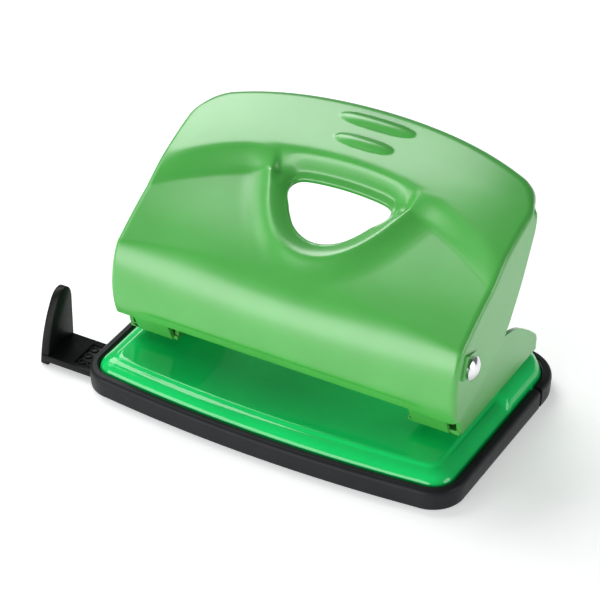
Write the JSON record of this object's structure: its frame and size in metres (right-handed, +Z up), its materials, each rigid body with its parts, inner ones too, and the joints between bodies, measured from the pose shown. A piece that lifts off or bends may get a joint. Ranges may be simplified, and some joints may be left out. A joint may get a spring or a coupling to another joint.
{
  "type": "hole punch",
  "caption": "Desk hole punch: pressed-steel hood hinged on side brackets over sprung punch pins, base plate on a plastic chip tray, sliding paper guide with an upright stop.",
  "frame": {"origin": "centre of the tray's footprint on the resting plane", "axes": "+X across the punch towards its right side, +Y from the paper side to the back, +Z up"},
  "size_m": [0.1223, 0.0734, 0.0645],
  "materials": {
    "hood_enamel": "satin green enamel",
    "bracket_enamel": "satin green enamel",
    "base_enamel": "glossy green enamel",
    "tray_plastic": "black moulded plastic",
    "guide_plastic": "black moulded plastic",
    "rivet_chrome": "bright",
    "bright_steel": "zinc plated",
    "tool_steel": "ground"
  },
  "bodies": {
    "base": {"base_tray": "tray_plastic", "base_plate": "base_enamel", "bracket_left": "bracket_enamel", "bracket_right": "bracket_enamel", "bracket_rivets_left": "bright_steel", "bracket_rivets_right": "bright_steel", "pivot_rivet_left": "rivet_chrome", "pivot_rivet_right": "rivet_chrome", "return_spring_left": "bright_steel", "return_spring_right": "bright_steel"},
    "handle": {"handle": "hood_enamel", "pusher_left": "bright_steel", "pusher_right": "bright_steel"},
    "punch_left": {"punch_pin_left": "tool_steel", "pin_clip_left": "bright_steel", "spring_washer_left": "bright_steel"},
    "punch_right": {"punch_pin_right": "tool_steel", "pin_clip_right": "bright_steel", "spring_washer_right": "bright_steel"},
    "guide": {"paper_guide": "guide_plastic"},
    "cover": {"chip_cover": "tray_plastic"}
  },
  "joints": [
    {"name": "handle_press", "type": "hinge", "parent": "base", "child": "handle", "pos_m": [0, -0.0143, 0.0329], "axis": [-1, 0, 0], "range_deg": [0, 36], "stiffness_Nm_per_rad": 0.6, "springref_deg": -28.65},
    {"name": "punch_left_slide", "type": "slide", "parent": "base", "child": "punch_left", "axis": [0, 0, -1], "range_m": [0, 0.0064], "deforming": ["return_spring_left"]},
    {"name": "punch_right_slide", "type": "slide", "parent": "base", "child": "punch_right", "axis": [0, 0, -1], "range_m": [0, 0.0064], "deforming": ["return_spring_right"]},
    {"name": "guide_slide", "type": "slide", "parent": "base", "child": "guide", "axis": [-1, 0, 0], "range_m": [-0.01, 0.0774]},
    {"name": "cover_hinge", "type": "hinge", "parent": "base", "child": "cover", "pos_m": [0, 0.0278, 0.002], "axis": [1, 0, 0], "range_deg": [0, 100]}
  ],
  "couplings": [
    {"joint": "punch_left_slide", "follows": "handle_press", "m_per_rad": 0.01015},
    {"joint": "punch_right_slide", "follows": "handle_press", "m_per_rad": 0.01015}
  ]
}
